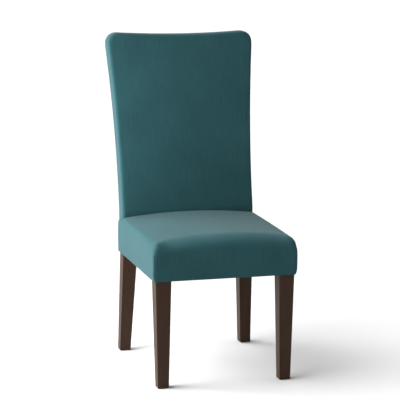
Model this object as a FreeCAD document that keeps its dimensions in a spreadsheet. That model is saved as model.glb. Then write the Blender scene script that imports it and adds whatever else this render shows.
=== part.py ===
import FreeCAD, Part
import math
import os
import Sketcher

# A parsons chair: a tall upholstered back and a tight upholstered seat on four tapered wooden legs.
# Millimetres. +Z is up, the front of the seat looks along -Y, and the chair is alike left and right
# of X = 0. The origin lies on the floor, under the middle of the chair.

# Driving sizes

SIZES = [
    ("OverallHeight", 1068, "floor to the top corners of the back"),
    ("OverallDepth", 615, "front of the seat to the rear of the back"),
    ("SoftGap", 0.3, "clearance between two soft layers, or a soft layer and wood"),
    ("FabricThickness", 1.4, "cover fabric"),
    ("FrontPadding", 7.5, "front of the seat cover ahead of the front rail"),
    ("FrameWidth", 450, "outside to outside of the side rails"),
    ("FrameDepth", 496, "front rail's outside to rear rail's outside"),
    ("RailUnderside", 345, "floor to the underside of the seat rails"),
    ("RailHeight", 85, "height of the seat rails"),
    ("RailThickness", 22, "thickness of the seat rails"),
    ("GlideHeight", 2, "disc of a nail-on glide"),
    ("GlideRadius", 10, "disc of a nail-on glide"),
    ("GlideNailRadius", 1.2, "nail of a glide"),
    ("GlideNailLength", 15, "nail of a glide"),
    ("LegEdgeRadius", 1.5, "eased long edges of the front legs"),
    ("FrontLegSize", 50.5, "front leg at the seat, each way"),
    ("FrontFootSize", 35.5, "front leg at the floor, each way"),
    ("FrontFootInset", 8.25, "outside of a front foot inside the side of the frame"),
    ("FrontFootSetback", 4.5, "front foot behind the front rail's outside"),
    ("PostWidth", 48, "rear post across the chair, in the seat frame"),
    ("PostDepth", 51, "rear post front to back, in the seat frame"),
    ("RearLegDepth", 48, "rear post front to back, just under the seat"),
    ("RearFootAcross", 36, "rear foot across the chair"),
    ("RearFootDeep", 35, "rear foot front to back"),
    ("RearFootSplay", 5, "outside of a rear foot beyond the side of the frame"),
    ("RearFootRake", 33.8, "front of the rear foot behind the front of the post"),
    ("PostShoulder", 18, "height in which the rear of the post steps back above the leg"),
    ("BendRise", 52, "start of the back's recline above the seat rails"),
    ("BackThickness", 55, "back at its edges, front to back"),
    ("BackCrown", 6, "how far the middle of the back stands ahead of its edges"),
    ("BackEdgeRadius", 10, "rounded front edges of the back"),
    ("BackSideProud", 0.5, "side of the back beyond the side of the frame, above the seat"),
    ("BackWidthHigh", 498, "width of the back near its top"),
    ("FlareStartRise", 38, "start of the flare of the back's sides above the bend"),
    ("FlareEndDrop", 48, "end of the flare below the top corners"),
    ("BackCornerRadius", 33, "top corners of the back, seen from the front"),
    ("BackTopDip", 7, "how far the middle of the top edge lies below its ends"),
    ("BackTopEdge", 12, "height of the rounded top of the back"),
    ("BackRearPadding", 4, "outside back cover's face behind the posts"),
    ("PostBackDepth", 28, "rear post front to back, in the back"),
    ("PostSideInset", 4, "side of the post inside the side of the back"),
    ("PostBackWidth", 42, "rear post across the chair, in the back"),
    ("PostTopInset", 12, "top of the wooden back below the top of the back cover"),
    ("BackRailHeight", 60, "cross rails of the back"),
    ("LowerRailClearance", 20, "lower cross rail of the back above the bend"),
    ("DowelRadius", 5, "wooden dowels"),
    ("DowelReach", 24, "how far a dowel goes into each piece"),
    ("DowelSpacing", 45, "between the two dowels of a seat rail"),
    ("BackDowelSpacing", 30, "between the two dowels of a back rail"),
    ("DrillClearance", 1, "extra depth of a blind hole"),
    ("BlockThickness", 30, "corner block, across its length"),
    ("BlockHeight", 60, "corner block, up and down"),
    ("LegChamfer", 14, "flat on the leg's inner edge that a corner block bears on"),
    ("BlockScrewPlace", 60, "block screws from the corner of the rails"),
    ("BlockScrewSpacing", 30, "between the two screws of one side of a block"),
    ("ScrewRadius", 2, "shank of a block screw"),
    ("ScrewHeadRadius", 4, "head of a block screw"),
    ("ScrewHeadHeight", 3, "head of a block screw"),
    ("ScrewGrip", 14, "wood of the block under a screw's head"),
    ("ScrewBite", 14, "how far a block screw goes into the rail"),
    ("BoltRadius", 4, "hanger bolts"),
    ("BoltBite", 30, "how far a hanger bolt goes into the leg"),
    ("BoltEnd", 6, "end of a hanger bolt beyond its nut"),
    ("WasherRadius", 11, "washers of the hanger bolts"),
    ("WasherThickness", 2, "washers of the hanger bolts"),
    ("NutRadius", 7.5, "corner radius of the nuts"),
    ("NutHeight", 6.5, "nuts of the hanger bolts"),
    ("StrapWidth", 50, "webbing straps"),
    ("StrapThickness", 1.4, "webbing straps"),
    ("StrapWeaveGap", 0.1, "clearance where two straps cross"),
    ("StrapRamp", 10, "length in which a strap climbs over another"),
    ("StrapEndInset", 4, "strap ends inside the outside of the rails"),
    ("DeckClothThickness", 0.8, "jute cloth over the webbing"),
    ("SeatCrownRise", 48, "crown of the seat above the seat rails"),
    ("SeatSidePadding", 9.5, "widest part of the seat beyond the side of the frame"),
    ("SeatRearPadding", 6, "seat cover beyond the side of the frame at the rear corners"),
    ("SeatLowPadding", 3, "seat cover beyond the side of the frame at its lower edge"),
    ("SeatSideRise", 27.5, "top of the seat's side panels, where the back cover starts, above the rails"),
    ("SeatSideBulge", 4.6, "outward bow of the seat's sides"),
    ("SeatShoulderRise", 15, "start of the rounded shoulders above the rails"),
    ("SeatShoulderRun", 15, "width of the rounded shoulders"),
    ("SeatCrown", 17, "rise of the seat's top from its shoulders to the middle"),
    ("SeatRoll", 34, "radius of the seat's rolled front"),
    ("SeatFrontBulge", 3.2, "outward bow of the seat's front"),
    ("SeatCornerRadius", 14, "front corners of the seat, seen from above"),
    ("SeatWaddingThickness", 4, "polyester wadding of the seat"),
    ("HemWidth", 24, "cover fabric turned in under the rails"),
    ("LegNotchClearance", 0.8, "room round the legs in the hem and the dust cover"),
    ("DustCoverThickness", 0.6, "black cloth under the seat"),
    ("DustCoverInset", 6, "edge of the dust cover inside the frame"),
    ("StapleWire", 0.8, "wire of the dust cover's staples"),
    ("StapleCrown", 10, "crown of a staple"),
    ("StapleLeg", 8, "legs of a staple"),
    ("StaplePitch", 90, "between staples"),
    ("StapleInset", 11, "staples from the outside of the frame"),
    ("BackWaddingThickness", 3.5, "polyester wadding of the back"),
    ("BackTuck", 22, "inside back fabric tucked down behind the seat pad"),
    ("BackTuckInset", 4, "end of the tucked fabric inside the post"),
    ("TackStripWidth", 14, "metal strips that hold the outside back"),
    ("TackStripThickness", 1.2, "metal strips that hold the outside back"),
    ("TackStripInset", 8.5, "side tack strips inside the side of the back"),
    ("OutsideBackMargin", 12, "outside back cover above the lower edge of the seat cover"),
]

doc = FreeCAD.newDocument("parsons_chair")
sheet = doc.addObject("Spreadsheet::Sheet", "Sizes")
for row, (alias, number, note) in enumerate(SIZES, start=1):
    sheet.set("A%d" % row, note)
    sheet.set("B%d" % row, str(number))
    sheet.setAlias("B%d" % row, alias)
doc.recompute()


class Size:
    """A number together with the sheet formula that gives it."""

    def __init__(self, value, formula):
        self.value = value
        self.formula = formula

    def combine(self, other, sign, value):
        return Size(value, "(%s %s %s)" % (self.formula, sign, other.formula))

    def __add__(self, other):
        other = as_size(other)
        return self.combine(other, "+", self.value + other.value)

    def __sub__(self, other):
        other = as_size(other)
        return self.combine(other, "-", self.value - other.value)

    def __mul__(self, other):
        other = as_size(other)
        return self.combine(other, "*", self.value * other.value)

    def __truediv__(self, other):
        other = as_size(other)
        return self.combine(other, "/", self.value / other.value)

    def __rsub__(self, other):
        return as_size(other) - self

    def __neg__(self):
        return as_size(0) - self

    __radd__ = __add__
    __rmul__ = __mul__


def as_size(number):
    if isinstance(number, Size):
        return number
    return Size(float(number), repr(float(number)))


def root(size):
    return Size(math.sqrt(size.value), "sqrt(%s)" % size.formula)


class SheetSizes:
    """Gives each alias of the sheet as a Size."""

    def __getattr__(self, alias):
        return Size(float(sheet.get(alias)), "Sizes.%s" % alias)


s = SheetSizes()

# Places that several pieces share

ZERO = as_size(0)
HALF_FRAME = s.FrameWidth / 2
FRAME_FRONT = s.FrontPadding - s.OverallDepth / 2
FRAME_REAR = FRAME_FRONT + s.FrameDepth
RAIL_TOP = s.RailUnderside + s.RailHeight
RAIL_MIDDLE = s.RailUnderside + s.RailHeight / 2
HALF_SIDE_INSIDE = HALF_FRAME - s.RailThickness
FRONT_RAIL_INSIDE = FRAME_FRONT + s.RailThickness
REAR_RAIL_INSIDE = FRAME_REAR - s.RailThickness
HALF_LEG_INSIDE = HALF_FRAME - s.FrontLegSize
FRONT_LEG_REAR = FRAME_FRONT + s.FrontLegSize
HALF_POST_INSIDE = HALF_FRAME - s.PostWidth
POST_FRONT = FRAME_REAR - s.PostDepth
HEM_LOW = s.RailUnderside - s.SoftGap - s.FabricThickness
DUST_COVER_TOP = HEM_LOW - s.SoftGap
DUST_COVER_LOW = DUST_COVER_TOP - s.DustCoverThickness
BEND_HEIGHT = RAIL_TOP + s.BendRise
BACK_WIDTH_LOW = s.FrameWidth + 2 * s.BackSideProud
FLARE_START = BEND_HEIGHT + s.FlareStartRise
FLARE_END = s.OverallHeight - s.FlareEndDrop
LOWER_RAIL_LENGTH = BACK_WIDTH_LOW - 2 * (s.PostSideInset + s.PostBackWidth)
TOP_RAIL_LENGTH = s.BackWidthHigh - 2 * (s.PostSideInset + s.PostBackWidth)
FRONT_FOOT_WIDTH = s.FrameWidth - 2 * s.FrontFootInset
REAR_FOOT_WIDTH = s.FrameWidth + 2 * s.RearFootSplay
SEAT_HEIGHT = RAIL_TOP + s.SeatCrownRise
SEAT_SIDE_TOP = RAIL_TOP + s.SeatSideRise
SEAT_SHOULDER_START = RAIL_TOP + s.SeatShoulderRise
SEAT_WIDTH = s.FrameWidth + 2 * s.SeatSidePadding
SEAT_REAR_WIDTH = s.FrameWidth + 2 * s.SeatRearPadding
SEAT_LOW_WIDTH = s.FrameWidth + 2 * s.SeatLowPadding
SIDES = (("left", -1), ("right", 1))

# The reclined part of the back: its rear face climbs from BACK_REAR at the bend to the overall depth

BACK_REAR = FRAME_REAR + s.BackRearPadding
BACK_RUN = s.OverallDepth / 2 - BACK_REAR
BACK_RISE = s.OverallHeight - s.BackTopEdge - BEND_HEIGHT
SLOPE = BACK_RUN / BACK_RISE
SLOPE_LENGTH = root(BACK_RUN * BACK_RUN + BACK_RISE * BACK_RISE)
RECLINE_SIN = BACK_RUN / SLOPE_LENGTH
RECLINE_COS = BACK_RISE / SLOPE_LENGTH
RECLINE_DEGREES = math.degrees(math.atan2(BACK_RUN.value, BACK_RISE.value))


def leaning(y, height):
    """Y of a face of the back at a height, where y is its place below the bend."""
    if height.value <= BEND_HEIGHT.value:
        return as_size(y)
    return y + SLOPE * (height - BEND_HEIGHT)


def half_back_width(height):
    """Half the width of the back at a height: straight, then a flare that grows as a parabola."""
    low = BACK_WIDTH_LOW / 2
    if height.value <= FLARE_START.value:
        return low
    if height.value >= FLARE_END.value:
        return s.BackWidthHigh / 2
    share = (height - FLARE_START) / (FLARE_END - FLARE_START)
    return low + (s.BackWidthHigh / 2 - low) * share * share


# Sketches and features

QUARTER_BOW = 1 - math.sqrt(0.5)
TRIM_REACH = 2 * s.OverallHeight


def vector(x, y, z=0.0):
    return FreeCAD.Vector(as_size(x).value, as_size(y).value, as_size(z).value)


def quarter(radius):
    """How far a quarter circle bows out from its chord."""
    return radius * QUARTER_BOW


def new_body(label):
    body = doc.addObject("PartDesign::Body", label)
    body.Label = label
    return body


def new_sketch(body, plane, offset=ZERO):
    """A sketch on one of the body's origin planes, moved along the plane's normal."""
    sketch = body.newObject("Sketcher::SketchObject", "Sketch")
    role = plane + "_Plane"
    support = [feature for feature in body.Origin.OriginFeatures if feature.Role == role][0]
    sketch.AttachmentSupport = [(support, "")]
    sketch.MapMode = "FlatFace"
    sketch.setExpression("AttachmentOffset.Base.z", offset.formula)
    return sketch


def bowed_edge(start, end, bow):
    """An arc from start to end that bows out by bow, and the formula of its radius."""
    run = end[0] - start[0]
    rise = end[1] - start[1]
    chord = root(run * run + rise * rise)
    radius = (chord * chord / 4 + bow * bow) / (2 * bow)
    outwards = bow.value > 0
    span = vector(*end) - vector(*start)
    left = FreeCAD.Vector(-span.y, span.x, 0) / chord.value
    centre = (vector(*start) + vector(*end)) / 2 + left * (radius.value - bow.value)
    first, last = (start, end) if outwards else (end, start)
    angles = [math.atan2(p[1].value - centre.y, p[0].value - centre.x) for p in (first, last)]
    circle = Part.Circle(centre, FreeCAD.Vector(0, 0, 1), abs(radius.value))
    return Part.ArcOfCircle(circle, angles[0], angles[1]), radius if outwards else -radius


def draw_outline(sketch, points):
    """Draws a closed outline, counter-clockwise. Each point is (x, y) or (x, y, bow of the next edge)."""
    corners = [(as_size(point[0]), as_size(point[1])) for point in points]
    bows = [as_size(point[2]) if len(point) > 2 else None for point in points]
    edges = []
    for index, start in enumerate(corners):
        end = corners[(index + 1) % len(corners)]
        bow = bows[index]
        if bow is None or bow.value == 0:
            line = Part.LineSegment(vector(*start), vector(*end))
            edges.append((sketch.addGeometry(line, False), 1, 2))
            continue
        arc, radius = bowed_edge(start, end, bow)
        ends = (1, 2) if bow.value > 0 else (2, 1)
        edges.append((sketch.addGeometry(arc, False),) + ends)
        constraint = sketch.addConstraint(Sketcher.Constraint("Radius", edges[-1][0], radius.value))
        sketch.setExpression("Constraints[%d]" % constraint, radius.formula)
    for index, (edge, first, last) in enumerate(edges):
        following = edges[(index + 1) % len(edges)]
        sketch.addConstraint(Sketcher.Constraint("Coincident", edge, last, following[0], following[1]))
        for kind, place in zip(("DistanceX", "DistanceY"), corners[index]):
            link = Sketcher.Constraint(kind, -1, 1, edge, first, place.value)
            constraint = sketch.addConstraint(link)
            sketch.setExpression("Constraints[%d]" % constraint, place.formula)


def pad(body, plane, points, low, high):
    """Pads an outline between two coordinates along the axis that the plane is square to."""
    low, high = as_size(low), as_size(high)
    if low.value > high.value:
        low, high = high, low
    start = -high if plane == "XZ" else low
    sketch = new_sketch(body, plane, start)
    draw_outline(sketch, points)
    feature = body.newObject("PartDesign::Pad", "Pad")
    feature.Profile = sketch
    feature.Length = (high - low).value
    feature.setExpression("Length", (high - low).formula)
    return feature


def trim(body, plane, points):
    """Cuts away all of the body that lies outside an outline, seen along the plane's normal."""
    sketch = new_sketch(body, plane)
    reach = TRIM_REACH
    draw_outline(sketch, [(-reach, -reach), (reach, -reach), (reach, reach), (-reach, reach)])
    draw_outline(sketch, points)
    feature = body.newObject("PartDesign::Pocket", "Trim")
    feature.Profile = sketch
    feature.Type = "ThroughAll"
    feature.SideType = "Symmetric"
    return feature


def loft(body, sections):
    """Joins outlines at rising heights, each (height, points), by straight walls."""
    sketches = []
    for height, points in sections:
        sketch = new_sketch(body, "XY", height)
        draw_outline(sketch, points)
        sketches.append(sketch)
    feature = body.newObject("PartDesign::AdditiveLoft", "Loft")
    feature.Profile = sketches[0]
    feature.Sections = sketches[1:]
    feature.Ruled = True
    return feature


def mirrored(points):
    """The same outline on the other side of X = 0, again counter-clockwise."""
    count = len(points)
    result = []
    for index in range(count - 1, -1, -1):
        previous = points[index - 1]
        bow = previous[2:]
        result.append((-as_size(points[index][0]), points[index][1]) + tuple(bow))
    return result


def on_side(side, points):
    return points if side > 0 else mirrored(points)


def rectangle(low_x, low_y, high_x, high_y):
    return [(low_x, low_y), (high_x, low_y), (high_x, high_y), (low_x, high_y)]


def place(feature, x, y, z, direction=(0, 0, 1)):
    """Puts a primitive at a point, turned so that its own Z axis points along the direction."""
    turn = FreeCAD.Rotation(FreeCAD.Vector(0, 0, 1), FreeCAD.Vector(*direction))
    feature.Placement = FreeCAD.Placement(vector(x, y, z), turn)
    for axis, coordinate in zip("xyz", (x, y, z)):
        feature.setExpression("Placement.Base." + axis, as_size(coordinate).formula)
    return feature


def cylinder(radius, length, x, y, z, direction=(0, 0, 1)):
    feature = doc.addObject("Part::Cylinder", "Cylinder")
    feature.setExpression("Radius", radius.formula)
    feature.setExpression("Height", length.formula)
    return place(feature, x, y, z, direction)


def box(low, high):
    """A box between two corners, each (x, y, z)."""
    low = [as_size(value) for value in low]
    high = [as_size(value) for value in high]
    feature = doc.addObject("Part::Box", "Box")
    for name, first, last in zip(("Length", "Width", "Height"), low, high):
        feature.setExpression(name, (last - first).formula)
    return place(feature, *low)


def group(label, features):
    """Separate solids that share one node."""
    feature = doc.addObject("Part::Compound", label)
    feature.Links = features
    feature.Label = label
    return feature


def cut(label, base, tools):
    feature = doc.addObject("Part::Cut", label)
    feature.Base = base
    feature.Tool = tools[0] if len(tools) == 1 else group(label + "_tools", tools)
    feature.Label = label
    return feature


nodes = []


def keep(feature):
    """Marks a finished sub-part, whose Label names its file."""
    nodes.append(feature)
    return feature


# Dowels and their holes

DOWEL_RISE = s.DowelSpacing / 2
HOLE_DEPTH = s.DowelReach + s.DrillClearance
DOWEL_HOLES = {}


def dowel(x, y, z, direction, owners):
    """A dowel across a joint at a point, and its hole in the two pieces that it joins."""
    back = [-component for component in direction]
    start = [as_size(value) + s.DowelReach * step for value, step in zip((x, y, z), back)]
    pin = cylinder(s.DowelRadius, 2 * s.DowelReach, *start, direction)
    deep = [as_size(value) + HOLE_DEPTH * step for value, step in zip((x, y, z), back)]
    for owner in owners:
        hole = cylinder(s.DowelRadius, 2 * HOLE_DEPTH, *deep, direction)
        DOWEL_HOLES.setdefault(owner, []).append(hole)
    return pin


def seat_dowels():
    front_y = FRAME_FRONT + s.RailThickness / 2
    rear_y = FRAME_REAR - s.RailThickness / 2
    side_x = HALF_FRAME - s.RailThickness / 2
    pins = []
    for name, side in SIDES:
        leg = "front_leg_" + name
        post = "rear_post_" + name
        rail = "side_rail_" + name
        for height in (RAIL_MIDDLE - DOWEL_RISE, RAIL_MIDDLE + DOWEL_RISE):
            along_x = (side, 0, 0)
            along_y = (0, 1, 0)
            pins.append(dowel(side * HALF_LEG_INSIDE, front_y, height, along_x, (leg, "front_seat_rail")))
            pins.append(dowel(side * HALF_POST_INSIDE, rear_y, height, along_x, (post, "rear_seat_rail")))
            pins.append(dowel(side * side_x, FRONT_LEG_REAR, height, along_y, (leg, rail)))
            pins.append(dowel(side * side_x, POST_FRONT, height, along_y, (post, rail)))
    return pins


# Places in the reclined back: y runs square to it from the posts' rear face, z up along it from the bend

POST_THICKNESS = s.PostBackDepth * RECLINE_COS
UPPER_POST_FRONT = FRAME_REAR - s.PostBackDepth
POST_NECK = RAIL_TOP + (BEND_HEIGHT - RAIL_TOP) / 5
LOWER_RAIL_LOW = s.LowerRailClearance
LOWER_RAIL_HIGH = LOWER_RAIL_LOW + s.BackRailHeight
POST_TOP = s.OverallHeight - s.PostTopInset
TOP_RAIL_HIGH = (POST_TOP - BEND_HEIGHT) / RECLINE_COS - POST_THICKNESS * SLOPE
TOP_RAIL_LOW = TOP_RAIL_HIGH - s.BackRailHeight


def in_back(y, z):
    """Turns a place in the reclined back into y and z of the chair."""
    y = as_size(y)
    z = as_size(z)
    chair_y = FRAME_REAR + y * RECLINE_COS + z * RECLINE_SIN
    chair_z = BEND_HEIGHT - y * RECLINE_SIN + z * RECLINE_COS
    return chair_y, chair_z


def recline(feature, x, y, z):
    """Leans a feature that was made upright, and puts its own origin at a place in the back."""
    chair_y, chair_z = in_back(y, z)
    turn = FreeCAD.Rotation(FreeCAD.Vector(-1, 0, 0), RECLINE_DEGREES)
    feature.Placement = FreeCAD.Placement(vector(x, chair_y, chair_z), turn)
    for axis, coordinate in zip("xyz", (as_size(x), chair_y, chair_z)):
        feature.setExpression("Placement.Base." + axis, coordinate.formula)
    tangent = "atan(%s)" % SLOPE.formula
    feature.setExpression("Placement.Rotation.Angle", tangent)
    return feature


def back_dowels():
    rails = (
        ("back_lower_rail", LOWER_RAIL_LENGTH, (LOWER_RAIL_LOW + LOWER_RAIL_HIGH) / 2),
        ("back_top_rail", TOP_RAIL_LENGTH, (TOP_RAIL_LOW + TOP_RAIL_HIGH) / 2),
    )
    pins = []
    for name, side in SIDES:
        for rail, length, middle in rails:
            for step in (-0.5, 0.5):
                y, z = in_back(-POST_THICKNESS / 2, middle + s.BackDowelSpacing * step)
                owners = ("rear_post_" + name, rail)
                pins.append(dowel(side * length / 2, y, z, (side, 0, 0), owners))
    return pins


keep(group("rail_dowels", seat_dowels()))
keep(group("back_rail_dowels", back_dowels()))

# Nail-on glides

REAR_FOOT_FRONT = POST_FRONT + s.RearFootRake
FOOT_CENTRES = {
    "front": (FRONT_FOOT_WIDTH / 2 - s.FrontFootSize / 2,
              FRAME_FRONT + s.FrontFootSetback + s.FrontFootSize / 2),
    "rear": (REAR_FOOT_WIDTH / 2 - s.RearFootAcross / 2, REAR_FOOT_FRONT + s.RearFootDeep / 2),
}
GLIDE_BEVEL = s.GlideHeight / 2


def glide(label, x, y):
    """A disc with a bevelled rim and a nail that goes up into the foot."""
    body = new_body(label)
    nail_tip = s.GlideHeight + s.GlideNailLength
    nail_shoulder = nail_tip - 2 * s.GlideNailRadius
    outline = [
        (0, 0),
        (s.GlideRadius - GLIDE_BEVEL, 0),
        (s.GlideRadius, GLIDE_BEVEL),
        (s.GlideRadius, s.GlideHeight),
        (s.GlideNailRadius, s.GlideHeight),
        (s.GlideNailRadius, nail_shoulder),
        (0, nail_tip),
    ]
    sketch = new_sketch(body, "XZ")
    draw_outline(sketch, outline)
    feature = body.newObject("PartDesign::Revolution", "Turned")
    feature.Profile = sketch
    feature.ReferenceAxis = (sketch, ["V_Axis"])
    feature.Angle = 360
    return place(body, x, y, 0)


NAIL_HOLES = {}
for end, (foot_x, foot_y) in FOOT_CENTRES.items():
    for name, side in SIDES:
        keep(glide("glide_%s_%s" % (end, name), side * foot_x, foot_y))
        nail_hole = cylinder(s.GlideNailRadius, s.GlideNailLength, side * foot_x, foot_y, s.GlideHeight)
        NAIL_HOLES[end, name] = nail_hole

# Corner blocks, with their bolts, washers, nuts and screws

BLOCK_LOW = RAIL_MIDDLE - s.BlockHeight / 2
BLOCK_HIGH = RAIL_MIDDLE + s.BlockHeight / 2
DIAGONAL = math.sqrt(0.5)
BOLT_HOLES = {}
BLOCK_HOLES = {}
PILOT_HOLES = {}
bolts = []
washers = []
nuts = []
screws = []


def corner(end, side):
    """The inner corner of two rails, which way is outwards, and how far the leg reaches in from it."""
    if end == "front":
        reach = (HALF_SIDE_INSIDE - HALF_LEG_INSIDE, FRONT_LEG_REAR - FRONT_RAIL_INSIDE)
        return side * HALF_SIDE_INSIDE, FRONT_RAIL_INSIDE, -1, reach
    reach = (HALF_SIDE_INSIDE - HALF_POST_INSIDE, REAR_RAIL_INSIDE - POST_FRONT)
    return side * HALF_SIDE_INSIDE, REAR_RAIL_INSIDE, 1, reach


def along(point, direction, distance):
    return [as_size(value) + distance * step for value, step in zip(point, direction)]


def block_screw(face, direction, key, rail):
    """A screw that starts in a counterbore of the block, at a point of the rail's face."""
    head = along(face, direction, -s.ScrewGrip)
    pilot_end = s.ScrewBite + s.DrillClearance
    shank_length = s.ScrewGrip + s.ScrewBite
    screws.append(cylinder(s.ScrewRadius, shank_length, *head, direction))
    head_back = along(head, direction, -s.ScrewHeadHeight)
    screws.append(cylinder(s.ScrewHeadRadius, s.ScrewHeadHeight, *head_back, direction))
    BLOCK_HOLES[key].append(cylinder(s.ScrewRadius, s.ScrewGrip, *head, direction))
    mouth = along(head, direction, -s.BlockThickness)
    BLOCK_HOLES[key].append(cylinder(s.ScrewHeadRadius, s.BlockThickness, *mouth, direction))
    PILOT_HOLES.setdefault(rail, []).append(cylinder(s.ScrewRadius, pilot_end, *face, direction))


def corner_block(end, name, side):
    """A block across a corner of the seat frame, bolted to the leg and screwed to both rails."""
    corner_x, corner_y, outwards, (reach_x, reach_y) = corner(end, side)
    near = reach_x + reach_y - s.LegChamfer
    far = near + s.BlockThickness / DIAGONAL
    key = (end, name)
    label = "corner_block_%s_%s" % key
    body = new_body(label + "_blank")
    pad(body, "XY", [
        (corner_x - side * near, corner_y),
        (corner_x - side * far, corner_y),
        (corner_x, corner_y - outwards * far),
        (corner_x, corner_y - outwards * near),
    ], BLOCK_LOW, BLOCK_HIGH)

    # The bolt's axis lies in the corner's diagonal, through the middle of the leg's flat
    inwards = (-side * DIAGONAL, -outwards * DIAGONAL, 0)
    flat = (corner_x - side * (reach_x - s.LegChamfer / 2),
            corner_y - outwards * (reach_y - s.LegChamfer / 2), RAIL_MIDDLE)
    stack = s.BlockThickness + s.WasherThickness + s.NutHeight
    bolt_start = along(flat, inwards, -s.BoltBite)
    bolts.append(cylinder(s.BoltRadius, s.BoltBite + stack + s.BoltEnd, *bolt_start, inwards))
    hole_start = along(flat, inwards, -(s.BoltBite + s.DrillClearance))
    BOLT_HOLES[key] = cylinder(s.BoltRadius, s.BoltBite + 2 * s.DrillClearance, *hole_start, inwards)
    block_hole_start = along(flat, inwards, -s.DrillClearance)
    block_hole_length = s.BlockThickness + 2 * s.DrillClearance
    BLOCK_HOLES[key] = [cylinder(s.BoltRadius, block_hole_length, *block_hole_start, inwards)]

    face = along(flat, inwards, s.BlockThickness)
    ring = cylinder(s.WasherRadius, s.WasherThickness, *face, inwards)
    bore = cylinder(s.BoltRadius, s.WasherThickness, *face, inwards)
    washers.append(cut("washer_%s_%s" % key, ring, [bore]))
    nut_face = along(face, inwards, s.WasherThickness)
    prism = doc.addObject("Part::Prism", "Prism")
    prism.Polygon = 6
    prism.setExpression("Circumradius", s.NutRadius.formula)
    prism.setExpression("Height", s.NutHeight.formula)
    place(prism, *nut_face, inwards)
    nut_bore = cylinder(s.BoltRadius, s.NutHeight, *nut_face, inwards)
    nuts.append(cut("nut_%s_%s" % key, prism, [nut_bore]))

    for step in (-0.5, 0.5):
        height = RAIL_MIDDLE + s.BlockScrewSpacing * step
        end_face = (corner_x - side * s.BlockScrewPlace, corner_y, height)
        side_face = (corner_x, corner_y - outwards * s.BlockScrewPlace, height)
        block_screw(end_face, (0, outwards, 0), key, end + "_seat_rail")
        block_screw(side_face, (side, 0, 0), key, "side_rail_" + name)
    keep(cut(label, body, BLOCK_HOLES[key]))


for end in ("front", "rear"):
    for name, side in SIDES:
        corner_block(end, name, side)
keep(group("leg_hanger_bolts", bolts))
keep(group("leg_bolt_washers", washers))
keep(group("leg_bolt_nuts", nuts))
screw_set = doc.addObject("Part::MultiFuse", "corner_block_screws")
screw_set.Shapes = screws
keep(screw_set)


def leg_flat(end, side):
    """The wood cut from the inner edge of a leg, where its corner block bears on it."""
    corner_x, corner_y, outwards, (reach_x, reach_y) = corner(end, side)
    edge_x = corner_x - side * reach_x
    edge_y = corner_y - outwards * reach_y
    body = new_body("leg_flat")
    pad(body, "XY", [
        (edge_x - side * s.LegChamfer, edge_y - outwards * s.LegChamfer),
        (edge_x + side * s.LegChamfer, edge_y),
        (edge_x, edge_y + outwards * s.LegChamfer),
    ], s.RailUnderside + s.PostShoulder / 2, RAIL_TOP + s.PostShoulder)
    return body


# Staples that hold the dust cover, driven through the hem of the seat cover into the rails

staples = []
staple_legs = []


def staple(x, y, runs_along):
    """A staple whose crown runs along an axis, and the room that its legs take."""
    half = s.StapleCrown / 2
    wire = s.StapleWire
    tip = DUST_COVER_LOW + s.StapleLeg
    centre, other = (x, y) if runs_along == "x" else (y, x)
    body = new_body("staple")
    pad(body, "XZ" if runs_along == "x" else "YZ", [
        (centre - half, DUST_COVER_LOW - wire),
        (centre + half, DUST_COVER_LOW - wire),
        (centre + half, tip),
        (centre + half - wire, tip),
        (centre + half - wire, DUST_COVER_LOW),
        (centre - half + wire, DUST_COVER_LOW),
        (centre - half + wire, tip),
        (centre - half, tip),
    ], other - wire / 2, other + wire / 2)
    staples.append(body)
    for start in (centre - half, centre + half - wire):
        near, far = (start, other - wire / 2), (start + wire, other + wire / 2)
        if runs_along == "y":
            near, far = near[::-1], far[::-1]
        staple_legs.append(box((*near, DUST_COVER_LOW), (*far, tip)))


for step in (-1.5, -0.5, 0.5, 1.5):
    staple(s.StaplePitch * step, FRAME_FRONT + s.StapleInset, "x")
    staple(s.StaplePitch * step, FRAME_REAR - s.StapleInset, "x")
    side_middle = (FRONT_LEG_REAR + POST_FRONT) / 2
    for name, side in SIDES:
        staple(side * (HALF_FRAME - s.StapleInset), side_middle + s.StaplePitch * step, "y")
keep(group("dust_cover_staples", staples))
STAPLE_HOLES = group("staple_holes", staple_legs)

# Front legs: tapered on all four sides up to the seat, then square inside the seat frame


def front_leg(name, side):
    label = "front_leg_" + name
    body = new_body(label + "_blank")
    foot_out = side * FRONT_FOOT_WIDTH / 2
    foot_in = foot_out - side * s.FrontFootSize
    foot_front = FRAME_FRONT + s.FrontFootSetback
    out, inside = side * HALF_FRAME, side * HALF_LEG_INSIDE
    foot = eased(foot_in, foot_front, foot_out, foot_front + s.FrontFootSize)
    top = eased(inside, FRAME_FRONT, out, FRONT_LEG_REAR)
    loft(body, [(s.GlideHeight, foot), (s.RailUnderside, top), (RAIL_TOP, top)])
    tools = DOWEL_HOLES[label] + [BOLT_HOLES["front", name], NAIL_HOLES["front", name]]
    keep(cut(label, body, tools + [leg_flat("front", side)]))


def eased(first_x, low_y, last_x, high_y):
    """A rectangle with eased corners, whichever of its two X values is the larger."""
    low_x, high_x = (first_x, last_x) if first_x.value < last_x.value else (last_x, first_x)
    radius = s.LegEdgeRadius
    bow = quarter(radius)
    return [
        (low_x + radius, low_y),
        (high_x - radius, low_y, bow),
        (high_x, low_y + radius),
        (high_x, high_y - radius, bow),
        (high_x - radius, high_y),
        (low_x + radius, high_y, bow),
        (low_x, high_y - radius),
        (low_x, low_y + radius, bow),
    ]


for name, side in SIDES:
    front_leg(name, side)

# Rear posts: a raked leg, a square stretch in the seat frame and a slim reclined post in one board


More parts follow.
